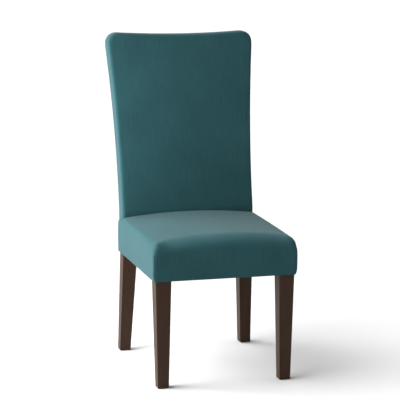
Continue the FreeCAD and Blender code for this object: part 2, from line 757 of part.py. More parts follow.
def rear_post(name, side):
    label = "rear_post_" + name
    body = new_body(label + "_blank")
    leg_rear = POST_FRONT + s.RearLegDepth
    rear_foot = REAR_FOOT_FRONT + s.RearFootDeep
    top = POST_TOP
    side_view = [
        (REAR_FOOT_FRONT, s.GlideHeight),
        (rear_foot, s.GlideHeight),
        (leg_rear, s.RailUnderside),
        (FRAME_REAR, s.RailUnderside + s.PostShoulder),
        (FRAME_REAR, BEND_HEIGHT),
        (leaning(FRAME_REAR, top), top),
        (leaning(UPPER_POST_FRONT, top), top),
        (UPPER_POST_FRONT, BEND_HEIGHT),
        (POST_FRONT, POST_NECK),
        (POST_FRONT, s.RailUnderside),
    ]
    pad(body, "YZ", side_view, 0, side * s.FrameWidth)

    foot_out = REAR_FOOT_WIDTH / 2
    foot_in = foot_out - s.RearFootAcross
    low_out = half_back_width(FLARE_START) - s.PostSideInset
    high_out = half_back_width(FLARE_END) - s.PostSideInset
    middle_height = (FLARE_START + FLARE_END) / 2
    middle_out = half_back_width(middle_height) - s.PostSideInset
    flare_bow = -((low_out + high_out) / 2 - middle_out)
    corner_radius = s.BackCornerRadius - s.PostSideInset
    top_rail_low = in_back(0, TOP_RAIL_LOW)[1]
    front_view = [
        (foot_out, s.GlideHeight),
        (HALF_FRAME, s.RailUnderside),
        (HALF_FRAME, RAIL_TOP),
        (low_out, SEAT_SHOULDER_START),
        (low_out, FLARE_START, flare_bow),
        (high_out, FLARE_END),
        (high_out, top - corner_radius, quarter(corner_radius)),
        (high_out - corner_radius, top),
        (TOP_RAIL_LENGTH / 2, top),
        (TOP_RAIL_LENGTH / 2, top_rail_low),
        (LOWER_RAIL_LENGTH / 2, in_back(0, LOWER_RAIL_HIGH)[1]),
        (LOWER_RAIL_LENGTH / 2, BEND_HEIGHT),
        (HALF_POST_INSIDE, RAIL_TOP),
        (HALF_POST_INSIDE, s.RailUnderside),
        (foot_in, s.GlideHeight),
    ]
    trim(body, "XZ", on_side(side, front_view))
    tools = DOWEL_HOLES[label] + [BOLT_HOLES["rear", name], NAIL_HOLES["rear", name]]
    keep(cut(label, body, tools + [leg_flat("rear", side)]))


for name, side in SIDES:
    rear_post(name, side)

# Seat rails between the legs and posts


def seat_rail(label, low, high):
    body = new_body(label + "_blank")
    pad(body, "XY", rectangle(low[0], low[1], high[0], high[1]), s.RailUnderside, RAIL_TOP)
    keep(cut(label, body, DOWEL_HOLES[label] + PILOT_HOLES[label] + [STAPLE_HOLES]))


seat_rail("front_seat_rail", (-HALF_LEG_INSIDE, FRAME_FRONT), (HALF_LEG_INSIDE, FRONT_RAIL_INSIDE))
seat_rail("rear_seat_rail", (-HALF_POST_INSIDE, REAR_RAIL_INSIDE), (HALF_POST_INSIDE, FRAME_REAR))
for name, side in SIDES:
    low_x, high_x = (HALF_SIDE_INSIDE, HALF_FRAME) if side > 0 else (-HALF_FRAME, -HALF_SIDE_INSIDE)
    seat_rail("side_rail_" + name, (low_x, FRONT_LEG_REAR), (high_x, POST_FRONT))

# Cross rails of the back, with the dip of the top edge in the top one


def back_rail(label, length, low, high, dip):
    body = new_body(label + "_blank")
    tall = high - low
    outline = [(-length / 2, 0), (length / 2, 0), (length / 2, tall, dip), (-length / 2, tall)]
    pad(body, "XZ", outline, -POST_THICKNESS, 0)
    recline(body, 0, 0, low)
    keep(cut(label, body, DOWEL_HOLES[label]))


back_rail("back_lower_rail", LOWER_RAIL_LENGTH, LOWER_RAIL_LOW, LOWER_RAIL_HIGH, 0)
back_rail("back_top_rail", TOP_RAIL_LENGTH, TOP_RAIL_LOW, TOP_RAIL_HIGH, -s.BackTopDip)

# Webbing: each strap climbs over every second strap that it crosses

WEAVE_STEP = s.StrapThickness + s.StrapWeaveGap


def spread(low, high, count):
    """Middles of a number of straps, evenly spread between two places."""
    low, high = as_size(low), as_size(high)
    return [low + (high - low) * ((index + 0.5) / count) for index in range(count)]


def weave(start, end, crossings, first_over):
    """Places along a strap, each with its rise, as it runs over every second crossing."""
    half = (s.StrapWidth + s.StrapRamp) / 2
    line = [(start, ZERO)]
    over = first_over
    for crossing in crossings:
        if over:
            line.append((crossing - half - s.StrapRamp, ZERO))
            line.append((crossing - half, WEAVE_STEP))
            line.append((crossing + half, WEAVE_STEP))
            line.append((crossing + half + s.StrapRamp, ZERO))
        over = not over
    line.append((end, ZERO))
    return line


def seat_strap(label, plane, start, end, crossings, first_over, centre, level):
    """A strap that lies on the seat rails, at a level."""
    body = new_body(label)
    line = weave(start, end, crossings, first_over)
    lower = [(place_along, level + rise) for place_along, rise in line]
    upper = [(place_along, level + rise + s.StrapThickness) for place_along, rise in reversed(line)]
    pad(body, plane, lower + upper, centre - s.StrapWidth / 2, centre + s.StrapWidth / 2)
    return body


def seat_webbing():
    lengthwise = spread(-HALF_LEG_INSIDE, HALF_LEG_INSIDE, 3)
    crosswise = spread(FRONT_RAIL_INSIDE, POST_FRONT, 4)
    straps = []
    for index, centre in enumerate(lengthwise):
        ends = (FRAME_FRONT + s.StrapEndInset, FRAME_REAR - s.StrapEndInset)
        over = index % 2 == 0
        straps.append(seat_strap("lengthwise_strap", "YZ", *ends, crosswise, over, centre, RAIL_TOP))
    keep(group("seat_webbing_lengthwise", straps))
    straps = []
    for index, centre in enumerate(crosswise):
        ends = (s.StrapEndInset - HALF_FRAME, HALF_FRAME - s.StrapEndInset)
        over = index % 2 == 1
        straps.append(seat_strap("crosswise_strap", "XZ", *ends, lengthwise, over, centre, RAIL_TOP))
    keep(group("seat_webbing_crosswise", straps))


seat_webbing()

BACK_FACE = -POST_THICKNESS


def back_webbing():
    """Straps on the front of the back's frame, made lying on their back and then leant."""
    uprights = spread(-LOWER_RAIL_LENGTH / 2, LOWER_RAIL_LENGTH / 2, 3)
    crosswise = spread(LOWER_RAIL_HIGH, TOP_RAIL_LOW, 5)
    straps = []
    for index, centre in enumerate(uprights):
        ends = (LOWER_RAIL_LOW + s.StrapEndInset, TOP_RAIL_HIGH - s.StrapEndInset - s.BackTopDip)
        straps.append(back_strap("upright_strap", "x", *ends, crosswise, index % 2 == 0, centre))
    keep(group("back_webbing_upright", straps))
    straps = []
    for index, centre in enumerate(crosswise):
        half = LOWER_RAIL_LENGTH / 2 + s.PostBackWidth / 2
        straps.append(back_strap("back_strap", "z", -half, half, uprights, index % 2 == 1, centre))
    keep(group("back_webbing_crosswise", straps))


def back_strap(label, width_axis, start, end, crossings, first_over, centre):
    """A strap whose thickness points forwards, out of the front of the back's frame."""
    body = new_body(label)
    line = weave(start, end, crossings, first_over)
    near = [(place_along, BACK_FACE - rise) for place_along, rise in line]
    far = [(place_along, BACK_FACE - rise - s.StrapThickness) for place_along, rise in reversed(line)]
    low, high = centre - s.StrapWidth / 2, centre + s.StrapWidth / 2
    if width_axis == "x":
        pad(body, "YZ", [(y, z) for z, y in near + far], low, high)
    else:
        pad(body, "XY", near + far, low, high)
    return recline(body, 0, 0, 0)


back_webbing()

# Jute cloth over the webbing

SEAT_DECK = RAIL_TOP + WEAVE_STEP + s.StrapThickness + s.SoftGap


def deck_cloths():
    body = new_body("seat_deck_cloth")
    inset = s.StrapEndInset / 2
    side_x = HALF_FRAME - inset
    post_x = HALF_POST_INSIDE - s.LegNotchClearance
    post_y = POST_FRONT - s.LegNotchClearance
    pad(body, "XY", [
        (-side_x, FRAME_FRONT + inset),
        (side_x, FRAME_FRONT + inset),
        (side_x, post_y),
        (post_x, post_y),
        (post_x, FRAME_REAR - inset),
        (-post_x, FRAME_REAR - inset),
        (-post_x, post_y),
        (-side_x, post_y),
    ], SEAT_DECK, SEAT_DECK + s.DeckClothThickness)
    keep(body)

    body = new_body("back_deck_cloth")
    face = BACK_FACE - WEAVE_STEP - s.StrapThickness - s.SoftGap
    half_low = LOWER_RAIL_LENGTH / 2 + s.PostBackWidth * 0.6
    half_high = TOP_RAIL_LENGTH / 2 + s.PostBackWidth * 0.6
    top = TOP_RAIL_HIGH - s.BackTopDip
    pad(body, "XZ", [(-half_low, LOWER_RAIL_LOW), (half_low, LOWER_RAIL_LOW), (half_high, top),
                     (-half_high, top)], face - s.DeckClothThickness, face)
    recline(body, 0, 0, 0)
    keep(body)


deck_cloths()

# The seat's soft layers share one form, drawn in by an inset: crowned top, rolled front, bowed sides

PAD_REAR = BACK_REAR - s.BackThickness - s.BackCrown / 4 - s.SoftGap
SEAT_FRONT = -s.OverallDepth / 2


def seat_form(label, inset, low, rear, step_height=None):
    """The seat's form inside its cover by inset. With a step, its sides run on to the rear."""
    inset = as_size(inset)
    body = new_body(label)
    top = SEAT_HEIGHT - inset
    roll = s.SeatRoll - inset
    face = SEAT_FRONT + s.SeatFrontBulge / 2 + inset
    pad_rear = PAD_REAR - inset
    outline = [(face, low)]
    if step_height is None:
        outline += [(rear, low), (rear, top)]
    else:
        outline += [(rear, low), (rear, step_height), (pad_rear, step_height), (pad_rear, top)]
    outline += [
        (face + roll, top, quarter(roll)),
        (face, top - roll, s.SeatFrontBulge / 2),
    ]
    pad(body, "YZ", outline, -SEAT_WIDTH, SEAT_WIDTH)

    low_x = SEAT_LOW_WIDTH / 2 - inset
    shoulder_x = SEAT_WIDTH / 2 - inset - s.SeatSideBulge / 3
    crown_x = shoulder_x - s.SeatShoulderRun
    shoulder_z = SEAT_SHOULDER_START
    crown_z = top - s.SeatCrown
    shoulder_bow = (shoulder_x - crown_x) * QUARTER_BOW
    trim(body, "XZ", [
        (-low_x, HEM_LOW),
        (low_x, HEM_LOW, s.SeatSideBulge),
        (shoulder_x, shoulder_z, shoulder_bow),
        (crown_x, crown_z, s.SeatCrown),
        (-crown_x, crown_z, shoulder_bow),
        (-shoulder_x, shoulder_z, s.SeatSideBulge),
    ])

    half = SEAT_WIDTH / 2 - inset
    half_rear = SEAT_REAR_WIDTH / 2 - inset
    corner_radius = s.SeatCornerRadius - inset
    front = SEAT_FRONT + inset
    beyond = FRAME_REAR + s.BackThickness
    trim(body, "XY", [
        (-half + corner_radius, front),
        (half - corner_radius, front, quarter(corner_radius)),
        (half, front + corner_radius),
        (half_rear, beyond),
        (-half_rear, beyond),
        (-half, front + corner_radius, quarter(corner_radius)),
    ])
    return body


WADDING_OUT = s.FabricThickness + s.SoftGap
WADDING_IN = WADDING_OUT + s.SeatWaddingThickness
FOAM_OUT = WADDING_IN + s.SoftGap
FOAM_LOW = SEAT_DECK + s.DeckClothThickness + s.SoftGap
SKIRT_REAR = BACK_REAR - s.FabricThickness - s.SoftGap
FAR_REAR = BACK_REAR + s.BackThickness


def leg_notches(low, high):
    """Room for the legs and posts in the layers under the rails."""
    spare = s.LegNotchClearance
    notches = []
    for name, side in SIDES:
        for inside, front, rear in (
            (HALF_LEG_INSIDE, FRAME_FRONT - spare, FRONT_LEG_REAR + spare),
            (HALF_POST_INSIDE, POST_FRONT - spare, FRAME_REAR + spare),
        ):
            inner = inside - spare
            outer = HALF_FRAME + s.SoftGap
            low_x, high_x = (inner, outer) if side > 0 else (-outer, -inner)
            notches.append(box((low_x, front, low), (high_x, rear, high)))
    return notches


def seat_layers():
    foam = seat_form("seat_foam", FOAM_OUT, FOAM_LOW, PAD_REAR - FOAM_OUT)
    keep(foam)

    # Wadding over the foam and down the outside of the rails
    skirt_top = SEAT_SIDE_TOP - s.SoftGap
    wrap = seat_form("seat_wadding_form", WADDING_OUT, s.RailUnderside, SKIRT_REAR, skirt_top)
    core = seat_form("seat_wadding_core", WADDING_IN, RAIL_TOP, PAD_REAR - WADDING_IN)
    clear = HALF_FRAME + s.SoftGap
    frame = box((-clear, FRAME_FRONT - s.SoftGap, HEM_LOW - s.RailHeight), (clear, FAR_REAR, FOAM_LOW))
    behind = box((-clear, PAD_REAR - WADDING_OUT - s.SoftGap, HEM_LOW), (clear, FAR_REAR, SEAT_HEIGHT))
    keep(cut("seat_wadding", wrap, [core, frame, behind]))

    # Cover with its hem turned in under the rails, cut out round the legs
    outside = seat_form("seat_cover_form", 0, HEM_LOW, SKIRT_REAR, SEAT_SIDE_TOP)
    hem_top = HEM_LOW + s.FabricThickness
    inside = seat_form("seat_cover_inside", s.FabricThickness, hem_top, FAR_REAR,
                       SEAT_SIDE_TOP + s.SoftGap)
    hem_x = SEAT_LOW_WIDTH / 2 - s.HemWidth
    under = HEM_LOW - s.FabricThickness
    opening = box((-hem_x, SEAT_FRONT + s.HemWidth, under), (hem_x, SKIRT_REAR - s.HemWidth, hem_top))
    notches = leg_notches(under, hem_top)
    keep(cut("seat_cover", outside, [inside, opening, STAPLE_HOLES] + notches))

    # Black cloth that closes the underside
    body = new_body("dust_cover_blank")
    side_x = HALF_FRAME - s.DustCoverInset
    leg_x = HALF_LEG_INSIDE - s.LegNotchClearance
    post_x = HALF_POST_INSIDE - s.LegNotchClearance
    leg_y = FRONT_LEG_REAR + s.LegNotchClearance
    post_y = POST_FRONT - s.LegNotchClearance
    front_y = FRAME_FRONT + s.DustCoverInset
    rear_y = FRAME_REAR - s.DustCoverInset
    right = [(leg_x, front_y), (leg_x, leg_y), (side_x, leg_y), (side_x, post_y),
             (post_x, post_y), (post_x, rear_y)]
    left = [(-x, y) for x, y in reversed(right)]
    pad(body, "XY", right + left, DUST_COVER_LOW, DUST_COVER_TOP)
    keep(cut("dust_cover", body, [STAPLE_HOLES]))


seat_layers()

# The back's soft layers share one form too: crowned front, rounded edges, flared sides, dipped top

BACK_LOW = SEAT_SIDE_TOP + s.SoftGap
BACK_COVER_REAR = BACK_REAR - s.FabricThickness - s.SoftGap
BACK_TOP_START = s.OverallHeight - s.BackTopEdge
BACK_FAR = 2 * s.OverallDepth
CROWN_SHARES = ((0, 0.25), (0.12, 0.6), (0.25, 1), (0.4, 1), (0.55, 1), (0.7, 1), (0.85, 0.9), (1, 0.7))
TOP_CROWN_SHARE = CROWN_SHARES[-1][1]


def flare_height(share):
    return FLARE_START + (FLARE_END - FLARE_START) * share


def back_outline(inset, low_half):
    """The back seen from the front, with its sides, top corners and dipped top edge."""
    corner_radius = s.BackCornerRadius - inset / 2
    top = s.OverallHeight - inset
    side_line = [low_half]
    side_line += [(half_back_width(flare_height(share)) - inset, flare_height(share))
                  for share, crown_share in CROWN_SHARES]
    half = side_line[-1][0]
    right = side_line + [(half, top - corner_radius, quarter(corner_radius))]
    dip_start = (half - corner_radius, top, -s.BackTopDip)
    left = [(-half + corner_radius, top, quarter(corner_radius)), (-half, top - corner_radius)]
    left += [(-place[0], place[1]) for place in reversed(side_line)]
    return right + [dip_start] + left


def back_form(label, inset, low, rear):
    """The back inside its cover by inset, from a height up; rear is the place of its flat rear."""
    inset = as_size(inset)
    body = new_body(label)
    radius = s.BackEdgeRadius - inset / 2
    heights = [(low, CROWN_SHARES[0][1]), (BEND_HEIGHT, CROWN_SHARES[0][1])]
    heights += [(flare_height(share), crown_share) for share, crown_share in CROWN_SHARES]
    heights.append((s.OverallHeight + s.BackTopEdge, TOP_CROWN_SHARE))
    sections = []
    for height, crown_share in heights:
        half = half_back_width(height) - inset
        back = leaning(rear, height)
        edge = leaning(BACK_REAR - s.BackThickness, height) + inset
        sections.append((height, [
            (-half, edge + radius, quarter(radius)),
            (-half + radius, edge, s.BackCrown * crown_share),
            (half - radius, edge, quarter(radius)),
            (half, edge + radius),
            (half, back),
            (-half, back),
        ]))
    loft(body, sections)
    trim(body, "XZ", back_outline(inset, (BACK_WIDTH_LOW / 2 - inset, low)))
    return body


def round_top(body, inset, rear, radius, flange=False):
    """Rounds the top of a form front and rear. A flange keeps its rear clear of the top by a step."""
    inset = as_size(inset)
    top = s.OverallHeight - inset
    step = BACK_TOP_START - inset
    edge = leaning(BACK_REAR - s.BackThickness, top - radius) + inset
    front = edge - s.BackCrown * TOP_CROWN_SHARE - s.SoftGap
    outline = [(-BACK_FAR, 0), (BACK_FAR, 0), (BACK_FAR, step)]
    shoulder = leaning(rear, step) - s.SoftGap
    if flange:
        shoulder = shoulder - inset
    outline += [
        (shoulder, step, quarter(radius)),
        (shoulder - radius, top),
        (front + radius, top, quarter(radius)),
        (front, top - radius),
        (-BACK_FAR, top - radius),
    ]
    trim(body, "YZ", outline)


def back_slab(label, front, rear, low, high):
    """A sheet of even thickness that runs up and then leans with the back."""
    body = new_body(label)
    pad(body, "YZ", [
        (front, low),
        (rear, low),
        (rear, BEND_HEIGHT),
        (leaning(rear, high), high),
        (leaning(front, high), high),
        (front, BEND_HEIGHT),
    ], -s.BackWidthHigh, s.BackWidthHigh)
    return body


BACK_WADDING_OUT = s.FabricThickness + s.SoftGap
BACK_WADDING_IN = BACK_WADDING_OUT + s.BackWaddingThickness
BACK_FOAM_OUT = BACK_WADDING_IN + s.SoftGap
BACK_DECK_FRONT = BACK_FACE - WEAVE_STEP - s.StrapThickness - s.SoftGap - s.DeckClothThickness
POST_SIDE_ROOM = s.PostSideInset - s.SoftGap


def back_layers():
    foam_rear = FRAME_REAR + BACK_DECK_FRONT / RECLINE_COS - s.SoftGap
    foam_low = BEND_HEIGHT + s.LowerRailClearance / 4
    foam = back_form("back_foam", BACK_FOAM_OUT, foam_low, foam_rear)
    round_top(foam, BACK_FOAM_OUT, foam_rear, s.BackTopEdge / 2)
    keep(foam)

    # Wadding over the foam and round the sides and top of the posts
    wadding_rear = BACK_COVER_REAR - s.FabricThickness - s.SoftGap
    low = BACK_LOW + s.SoftGap
    wrap = back_form("back_wadding_form", BACK_WADDING_OUT, low, wadding_rear)
    round_top(wrap, BACK_WADDING_OUT, wadding_rear, s.BackTopEdge - BACK_WADDING_OUT / 2)
    core_rear = UPPER_POST_FRONT - s.SoftGap
    core = back_form("back_wadding_core", BACK_WADDING_IN, POST_NECK, core_rear)
    round_top(core, BACK_WADDING_IN, core_rear, s.BackTopEdge / 2 + s.SoftGap)
    room = new_body("back_frame_room")
    high = POST_TOP + s.SoftGap
    pad(room, "YZ", [
        (POST_FRONT - s.SoftGap, POST_NECK),
        (BACK_FAR, POST_NECK),
        (BACK_FAR, high),
        (leaning(core_rear, high), high),
        (core_rear, BEND_HEIGHT),
    ], -s.BackWidthHigh, s.BackWidthHigh)
    trim(room, "XZ", back_outline(POST_SIDE_ROOM, (BACK_WIDTH_LOW / 2 - POST_SIDE_ROOM, POST_NECK)))
    keep(cut("back_wadding", wrap, [core, room]))

    # Inside back cover: front, sides and top in one, with a tongue that tucks down behind the seat
    tuck_low = BACK_LOW - s.BackTuck
    outside = back_form("back_cover_form", 0, tuck_low, BACK_COVER_REAR)
    round_top(outside, 0, BACK_COVER_REAR, s.BackTopEdge)
    inside = back_form("back_cover_inside", s.FabricThickness, tuck_low - 1, BACK_FAR)
    inside_radius = s.BackTopEdge - s.FabricThickness / 2
    round_top(inside, s.FabricThickness, BACK_COVER_REAR, inside_radius, True)
    tuck_x = HALF_POST_INSIDE - s.BackTuckInset
    beside = []
    for name, side in SIDES:
        low_x, high_x = (tuck_x, SEAT_WIDTH) if side > 0 else (-SEAT_WIDTH, -tuck_x)
        beside.append(box((low_x, FRAME_FRONT, tuck_low - 1), (high_x, BACK_FAR, BACK_LOW)))
    keep(cut("back_cover", outside, [inside] + beside))


back_layers()

# The rear of the chair: wadding, tack strips and the outside back cover that they hold


def outside_back():
    strip_out = BACK_WIDTH_LOW / 2 - s.TackStripInset
    strip_in = strip_out - s.TackStripWidth
    low = HEM_LOW + s.OutsideBackMargin
    strip_low = low + s.TackStripWidth
    top_strip_high = POST_TOP - s.BackTopDip - s.PostSideInset
    top_strip_low = top_strip_high - s.TackStripWidth
    side_high = top_strip_low - s.SoftGap
    strip_rear = FRAME_REAR + s.TackStripThickness
    for name, side in SIDES:
        strip = back_slab("outside_back_side_strip_" + name, FRAME_REAR, strip_rear, strip_low, side_high)
        trim(strip, "XZ", on_side(side, rectangle(strip_in, strip_low, strip_out, side_high)))
        keep(strip)
    strip = back_slab("outside_back_top_strip", FRAME_REAR, strip_rear, top_strip_low, top_strip_high)
    trim(strip, "XZ", rectangle(-strip_in, top_strip_low, strip_in, top_strip_high))
    keep(strip)

    wadding_x = strip_in - s.SoftGap
    wadding_rear = BACK_REAR - s.FabricThickness - s.SoftGap
    wadding = back_slab("outside_back_wadding", FRAME_REAR + s.SoftGap, wadding_rear, low, side_high)
    trim(wadding, "XZ", rectangle(-wadding_x, low, wadding_x, side_high))
    keep(wadding)

    cover_high = BACK_TOP_START - s.SoftGap
    cover = back_slab("outside_back_cover", BACK_REAR - s.FabricThickness, BACK_REAR, low, cover_high)
    seat_half = SEAT_REAR_WIDTH / 2
    full = back_outline(ZERO, (BACK_WIDTH_LOW / 2, SEAT_SIDE_TOP + s.SoftGap))
    skirt_right = [(SEAT_LOW_WIDTH / 2, low), (seat_half, RAIL_MIDDLE), (seat_half, SEAT_SIDE_TOP)]
    skirt_left = [(-x, z) for x, z in reversed(skirt_right)]
    trim(cover, "XZ", skirt_right + full + skirt_left)
    keep(cover)


outside_back()

# Checks that every feature was made, then writes one file for each sub-part

doc.recompute()
faults = []
for feature in doc.Objects:
    if "Invalid" in feature.State or "Error" in feature.State:
        faults.append("%s (%s): %s" % (feature.Name, feature.Label, feature.State))
for feature in nodes:
    if feature.Shape.isNull() or not feature.Shape.isValid() or not feature.Shape.Solids:
        faults.append("%s: no valid solid" % feature.Label)
if faults:
    raise RuntimeError("; ".join(faults))

os.makedirs("parts", exist_ok=True)
for feature in nodes:
    feature.Shape.exportStep("parts/%s.step" % feature.Label)
    print("%-28s %d solids %10.0f mm3" % (feature.Label, len(feature.Shape.Solids), feature.Shape.Volume))
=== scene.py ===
import bpy
import math
from mathutils import Matrix, Vector


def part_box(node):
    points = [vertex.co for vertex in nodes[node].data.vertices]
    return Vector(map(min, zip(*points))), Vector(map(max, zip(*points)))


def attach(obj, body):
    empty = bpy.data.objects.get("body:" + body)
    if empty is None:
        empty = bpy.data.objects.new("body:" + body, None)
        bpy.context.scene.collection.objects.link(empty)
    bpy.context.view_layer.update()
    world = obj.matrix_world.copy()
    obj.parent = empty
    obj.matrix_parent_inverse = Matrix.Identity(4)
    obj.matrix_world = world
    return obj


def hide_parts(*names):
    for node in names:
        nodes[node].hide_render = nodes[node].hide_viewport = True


# The looks of a parsons chair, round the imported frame. Metres, in the frame of the CAD model:
# +Z is up, the seat faces -Y, and the chair stands on the floor at Z = 0.

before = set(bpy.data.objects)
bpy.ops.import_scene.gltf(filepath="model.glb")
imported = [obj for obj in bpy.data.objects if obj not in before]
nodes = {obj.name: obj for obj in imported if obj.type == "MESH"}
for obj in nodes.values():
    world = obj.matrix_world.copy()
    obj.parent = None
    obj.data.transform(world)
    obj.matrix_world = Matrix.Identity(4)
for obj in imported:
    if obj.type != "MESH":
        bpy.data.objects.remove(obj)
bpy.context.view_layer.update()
scene = bpy.context.scene


# Camera: at eye height and 5.4 m from the seat, 15 degrees to the left of the chair's front, looking
# 10 degrees down through a long lens, so that the chair stands as it does in the photograph.

CAMERA_PLACE = (-1.41707, -5.10864, 1.46615)
CAMERA_YAW = math.radians(15.489)
CAMERA_PITCH = math.radians(9.920)
CAMERA_ROLL = math.radians(0.214)
SENSOR_WIDTH, FOCAL_LENGTH = 36, 148.5

camera = bpy.data.objects.new("camera", bpy.data.cameras.new("camera"))
camera.data.sensor_width = SENSOR_WIDTH
camera.data.lens = FOCAL_LENGTH
turned = Matrix.Rotation(-CAMERA_YAW, 4, "Z") @ Matrix.Rotation(math.pi / 2 - CAMERA_PITCH, 4, "X")
turned = turned @ Matrix.Rotation(CAMERA_ROLL, 4, "Z")
camera.matrix_world = Matrix.Translation(CAMERA_PLACE) @ turned
scene.collection.objects.link(camera)
scene.camera = camera


# Studio floor: one plain pale matt sheet that reaches far behind the chair, with a faint speckle.
# Its colours are shown as they are, without a film look.

FLOOR_REACH = 60
FLOOR_TONES = (0.69, 0.71)
scene.view_settings.view_transform = "Standard"


def new_material(name, roughness=0.6, **inputs):
    """A node material; its other inputs are set by the words of the Principled shader's sockets."""
    material = bpy.data.materials.new(name)
    material.use_nodes = True
    shader = material.node_tree.nodes["Principled BSDF"]
    shader.inputs["Roughness"].default_value = roughness
    for words, value in inputs.items():
        shader.inputs[words.replace("_", " ").title().replace("Ior", "IOR")].default_value = value
    return material, material.node_tree, shader


def add_node(tree, kind, **settings):
    """A new node; an input is set by its name or number, or linked where its value is a socket."""
    node = tree.nodes.new(kind)
    inputs = settings.pop("inputs", {})
    for name, value in settings.items():
        setattr(node, name, value)
    for name, value in inputs.items():
        if isinstance(value, bpy.types.NodeSocket):
            tree.links.new(value, node.inputs[name])
        else:
            node.inputs[name].default_value = value
    return node


def object_point(tree):
    return add_node(tree, "ShaderNodeTexCoord").outputs["Object"]


def stretched(tree, point, scale):
    return add_node(tree, "ShaderNodeMapping", inputs={"Vector": point, "Scale": scale}).outputs[0]


def noise(tree, point, scale, detail=2.0):
    inputs = {"Vector": point, "Scale": scale, "Detail": detail}
    return add_node(tree, "ShaderNodeTexNoise", inputs=inputs).outputs["Fac"]


def ramp(tree, factor, *stops):
    """Colours over a factor; each stop is (place, colour)."""
    node = add_node(tree, "ShaderNodeValToRGB", inputs={0: factor})
    while len(node.color_ramp.elements) < len(stops):
        node.color_ramp.elements.new(0.5)
    for element, (place, colour) in zip(node.color_ramp.elements, stops):
        element.position = place
        element.color = (*colour, 1)
    return node.outputs["Color"]


def math_node(tree, operation, first, second=0.0):
    return add_node(tree, "ShaderNodeMath", operation=operation, inputs={0: first, 1: second}).outputs[0]


def bump(tree, shader, height, strength, distance):
    inputs = {"Height": height, "Strength": strength, "Distance": distance}
    node = add_node(tree, "ShaderNodeBump", inputs=inputs)
    tree.links.new(node.outputs[0], shader.inputs["Normal"])


def new_piece(name, points, faces, material, smooth=True):
    mesh = bpy.data.meshes.new(name)
    mesh.from_pydata(points, [], faces)
    mesh.polygons.foreach_set("use_smooth", [smooth] * len(mesh.polygons))
    mesh.materials.append(material)
    piece = bpy.data.objects.new(name, mesh)
    scene.collection.objects.link(piece)
    return piece


floor_paint, tree, shader = new_material("floor_paint", roughness=0.9, specular_ior_level=0.1)
speckle = noise(tree, object_point(tree), 300)
dim, pale = [(tone,) * 3 for tone in FLOOR_TONES]
tree.links.new(ramp(tree, speckle, (0.3, dim), (0.7, pale)), shader.inputs["Base Color"])
corners = [(x * FLOOR_REACH, y * FLOOR_REACH, 0) for x, y in ((-1, -1), (1, -1), (1, 1), (-1, 1))]
floor = new_piece("floor", corners, [(0, 1, 2, 3)], floor_paint)


# Light: a wide bright wall on the left and a little behind the chair, a nearer soft box on the same
# side, a weak fill from the right rear and an even dim surround. The camera sees a pale backdrop.

WALL_SIDE, WALL_EDGES, WALL_GLOW = Vector((-1, 0.28, 0.60)).normalized(), (0.45, 0.95), 4.8
FILL_SIDE, FILL_EDGES, FILL_GLOW = Vector((0.75, 0.65, 0.25)).normalized(), (0.2, 0.9), 0.9
SURROUND_GLOW, BACKDROP_GLOW = 0.06, 0.93
SOFT_BOX_PLACE, SOFT_BOX_TARGET = Vector((-1.0, -0.10, 0.90)), Vector((0, 0.05, 0.6))
SOFT_BOX_SIZE, SOFT_BOX_WATTS = 0.6, 15

surround = bpy.data.worlds.new("surround")
surround.use_nodes = True
scene.world = surround
tree = surround.node_tree
sky = tree.nodes["Background"]
toward = add_node(tree, "ShaderNodeTexCoord").outputs["Generated"]


def bright_wall(side, edges, glow):
    """Light from round a direction, with a soft edge between two cosines of the angle to it."""
    facing = add_node(tree, "ShaderNodeVectorMath", operation="DOT_PRODUCT", inputs={0: toward, 1: side})
    return add_node(tree, "ShaderNodeMapRange", interpolation_type="SMOOTHSTEP", inputs={
        "Value": facing.outputs["Value"], "From Min": edges[0], "From Max": edges[1], "To Min": 0.0,
        "To Max": glow}).outputs[0]


wall = bright_wall(WALL_SIDE, WALL_EDGES, WALL_GLOW)
fill = bright_wall(FILL_SIDE, FILL_EDGES, FILL_GLOW)
glow = math_node(tree, "ADD", math_node(tree, "ADD", wall, fill), SURROUND_GLOW)
seen = add_node(tree, "ShaderNodeLightPath").outputs["Is Camera Ray"]
strength = add_node(tree, "ShaderNodeMix", inputs={"Factor": seen, "A": glow, "B": BACKDROP_GLOW})
tree.links.new(strength.outputs[0], sky.inputs["Strength"])
sky.inputs["Color"].default_value = (1, 1, 1, 1)

lamp = bpy.data.lights.new("left_soft_box", "AREA")
lamp.energy, lamp.size = SOFT_BOX_WATTS, SOFT_BOX_SIZE
soft_box = bpy.data.objects.new("left_soft_box", lamp)
aim = (SOFT_BOX_TARGET - SOFT_BOX_PLACE).to_track_quat("-Z", "Y").to_matrix().to_4x4()
soft_box.matrix_world = Matrix.Translation(SOFT_BOX_PLACE) @ aim
scene.collection.objects.link(soft_box)


# Legs: solid hardwood, tapered, stained dark espresso and lacquered to a satin gloss. The front legs
# stand under the seat's front corners, and the rear posts run up inside the back.

ESPRESSO_DARK = (0.027, 0.0125, 0.0068)
ESPRESSO_LIGHT = (0.052, 0.026, 0.0145)


def stained_wood(name, dark, light, coat, gloss):
    """Wood with its grain along Z: long fibres, wider growth bands and fine open pores."""
    material, tree, shader = new_material(name, roughness=gloss, coat_weight=coat, coat_roughness=0.28)
    point = object_point(tree)
    fibre = noise(tree, stretched(tree, point, (1, 1, 0.03)), 420, 4)
    band = noise(tree, stretched(tree, point, (1, 1, 0.06)), 45, 2)
    fibre, band = math_node(tree, "MULTIPLY", fibre, 0.6), math_node(tree, "MULTIPLY", band, 0.4)
    mixed = math_node(tree, "ADD", fibre, band)
    tree.links.new(ramp(tree, mixed, (0.3, dark), (0.7, light)), shader.inputs["Base Color"])
    pores = noise(tree, stretched(tree, point, (1, 1, 0.04)), 1400, 2)
    bump(tree, shader, pores, 0.12, 0.0003)
    return material


def finish_node(name, material):
    """Gives a carried-over CAD node its material."""
    node = nodes[name]
    node.data.materials.clear()
    node.data.materials.append(material)


